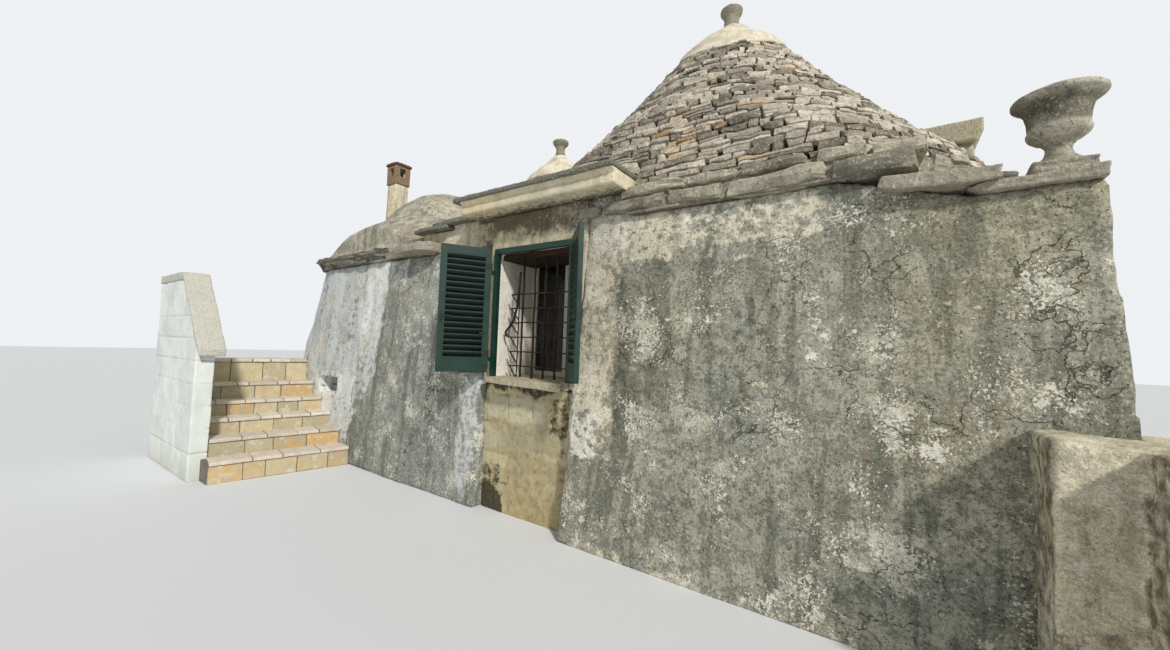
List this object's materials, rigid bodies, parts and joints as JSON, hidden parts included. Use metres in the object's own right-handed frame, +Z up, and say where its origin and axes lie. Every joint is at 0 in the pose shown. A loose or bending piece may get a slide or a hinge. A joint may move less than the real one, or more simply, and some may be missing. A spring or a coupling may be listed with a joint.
{
  "type": "trullo house",
  "caption": "Dry-stone hut with battered plastered walls, two stone cones with white caps, a low dome, a window bay with louvred shutters, an urn, a chimney and an outside stair.",
  "frame": {"origin": "bottom centre of the whole house's bounding box, at yard level", "axes": "+X along the south front to the east, +Y inwards to the north, +Z up"},
  "size_m": [9.535, 6.228, 5.74],
  "materials": {
    "plaster": "weathered lime plaster with dark streaks and lichen",
    "whitewashed_plaster": "worn limewash over plaster",
    "tufo": "porous tufo blocks",
    "cone_stone": "dry laid limestone with rust and lichen",
    "limestone": "worn limestone slabs",
    "cap_plaster": "lime plaster cap",
    "dome_plaster": "grey weathered plaster",
    "cornice_stone": "cream worked stone",
    "green_paint": "satin dark green paint",
    "iron": "rusty wrought iron",
    "white_paint": "old white paint",
    "glass": "clear pane",
    "boards": "brown boards",
    "brick": "terracotta brick",
    "step_stone": "sawn stone slabs and tiles",
    "block_wall": "painted concrete blocks",
    "door_paint": "dark green paint"
  },
  "bodies": {
    "house": {"south_wall": "plaster", "bay_infill_wall": "tufo", "bay_upper_wall": "plaster", "window_sill": "limestone", "soffit_boards": "boards", "shutter_frame": "green_paint", "casement_frame": "white_paint", "casement_glass": "glass", "window_grille": "iron", "bay_cornice_band": "cornice_stone", "bay_cornice_slab": "limestone", "left_front_wall": "plaster", "south_west_corner_wall": "whitewashed_plaster", "west_wall": "whitewashed_plaster", "north_west_corner_wall": "whitewashed_plaster", "west_north_wall": "plaster", "main_north_wall": "plaster", "middle_wall": "whitewashed_plaster", "east_wall_south": "plaster", "east_wall_north": "plaster", "east_wall_foot": "plaster", "gable_wall": "plaster", "gable_cornice": "cornice_stone", "street_door_frame": "door_paint", "street_door": "door_paint", "street_threshold": "limestone", "main_roof_deck": "limestone", "main_eave_course": "cone_stone", "main_cone": "cone_stone", "main_cap": "cap_plaster", "main_finial": "limestone", "west_roof_deck": "limestone", "second_cone": "cone_stone", "second_cap": "cap_plaster", "second_finial": "cap_plaster", "low_dome": "dome_plaster", "bracket_stone": "limestone", "side_masonry": "cone_stone", "roof_slab_low": "limestone", "roof_slab_high": "limestone", "chimney_shaft": "cap_plaster", "chimney_head": "brick", "chimney_cap": "limestone", "corner_slab_west": "limestone", "corner_slab_east": "limestone", "urn_pedestal": "limestone", "urn": "limestone", "stair_parapet": "block_wall", "parapet_coping": "limestone", "corner_pier": "tufo", "stair_step_1": "step_stone", "stair_step_2": "step_stone", "stair_step_3": "step_stone", "stair_step_4": "step_stone", "stair_step_5": "step_stone", "stair_step_6": "step_stone"},
    "left_shutter": {"shutter_left": "green_paint"},
    "right_shutter": {"shutter_right": "green_paint"}
  },
  "joints": [
    {"name": "left_shutter_hinge", "type": "hinge", "parent": "house", "child": "left_shutter", "pos_m": [0.3435, -1.592, 1.33], "axis": [0, 0, 1], "range_deg": [-50, 120]},
    {"name": "right_shutter_hinge", "type": "hinge", "parent": "house", "child": "right_shutter", "pos_m": [1.3515, -1.592, 1.33], "axis": [0, 0, 1], "range_deg": [-134, 16]}
  ]
}
